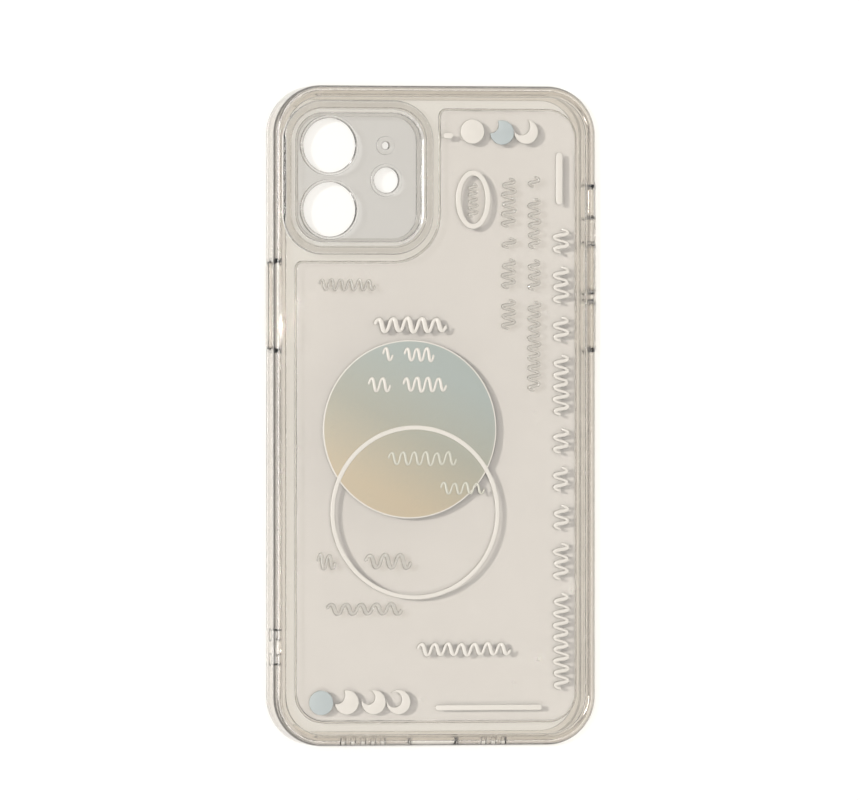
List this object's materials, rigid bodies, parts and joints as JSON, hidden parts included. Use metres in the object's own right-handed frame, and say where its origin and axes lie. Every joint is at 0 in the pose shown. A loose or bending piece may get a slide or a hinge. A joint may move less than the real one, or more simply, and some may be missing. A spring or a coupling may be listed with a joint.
{
  "type": "phone case",
  "caption": "Clear protective case for a two-lens handset, with soft bumper, hard back plate, raised camera guard, press-through key covers and a relief art panel of moons, disc and ring.",
  "frame": {"origin": "Centre of the bounding box in X and Y, on the plane of the front lip, which the case rests on with its back up.", "axes": "+Z is the outward normal of the back, +Y points to the top edge of the handset, where the camera is, and +X to the side with the two volume keys."},
  "size_m": [0.0768, 0.1508, 0.0114],
  "materials": {
    "soft_clear_tpu": "clear soft TPU, moulded, glossy with a faint warm tint",
    "hard_clear_pc": "clear polycarbonate, moulded and polished",
    "clear_film": "clear printed film, smooth",
    "white_relief_ink": "thick cured white ink, satin",
    "blue_relief_ink": "thick cured grey-blue ink, satin",
    "pale_relief_ink": "thin translucent white ink, satin",
    "clear_relief_ink": "thick cured clear ink, glossy",
    "gradient_print": "flat print that fades from grey-blue to sand"
  },
  "bodies": {
    "case": {"bumper_frame": "soft_clear_tpu", "camera_guard": "soft_clear_tpu", "back_plate": "hard_clear_pc", "camera_plate": "hard_clear_pc", "art_panel": "clear_film", "thin_ring": "white_relief_ink", "top_moon_full": "white_relief_ink", "top_moon_crescent": "white_relief_ink", "bottom_moon_gibbous": "white_relief_ink", "bottom_moon_crescent_wide": "white_relief_ink", "bottom_moon_crescent_slim": "white_relief_ink", "top_dash": "white_relief_ink", "side_bar": "white_relief_ink", "bottom_bar": "white_relief_ink", "oval_ring": "white_relief_ink", "stroke_column_outer": "white_relief_ink", "stroke_above_disc": "white_relief_ink", "stroke_disc_upper": "white_relief_ink", "stroke_disc_lower": "white_relief_ink", "stroke_bottom": "white_relief_ink", "top_moon_gibbous": "blue_relief_ink", "bottom_moon_full": "blue_relief_ink", "stroke_ring_upper": "pale_relief_ink", "stroke_ring_lower": "pale_relief_ink", "stroke_in_oval": "clear_relief_ink", "stroke_column_inner": "clear_relief_ink", "stroke_column_middle": "clear_relief_ink", "stroke_below_camera": "clear_relief_ink", "stroke_left_outer": "clear_relief_ink", "stroke_left_inner": "clear_relief_ink", "stroke_left_lower": "clear_relief_ink", "gradient_disc": "gradient_print"},
    "power_button": {"power_button_cover": "soft_clear_tpu"},
    "volume_up": {"volume_up_cover": "soft_clear_tpu"},
    "volume_down": {"volume_down_cover": "soft_clear_tpu"}
  },
  "joints": [
    {"name": "power_button_press", "type": "slide", "parent": "case", "child": "power_button", "axis": [1, 0, 0], "range_m": [0, 0.0004], "stiffness_N_per_m": 2000},
    {"name": "volume_up_press", "type": "slide", "parent": "case", "child": "volume_up", "axis": [-1, 0, 0], "range_m": [0, 0.0004], "stiffness_N_per_m": 2000},
    {"name": "volume_down_press", "type": "slide", "parent": "case", "child": "volume_down", "axis": [-1, 0, 0], "range_m": [0, 0.0004], "stiffness_N_per_m": 2000}
  ]
}
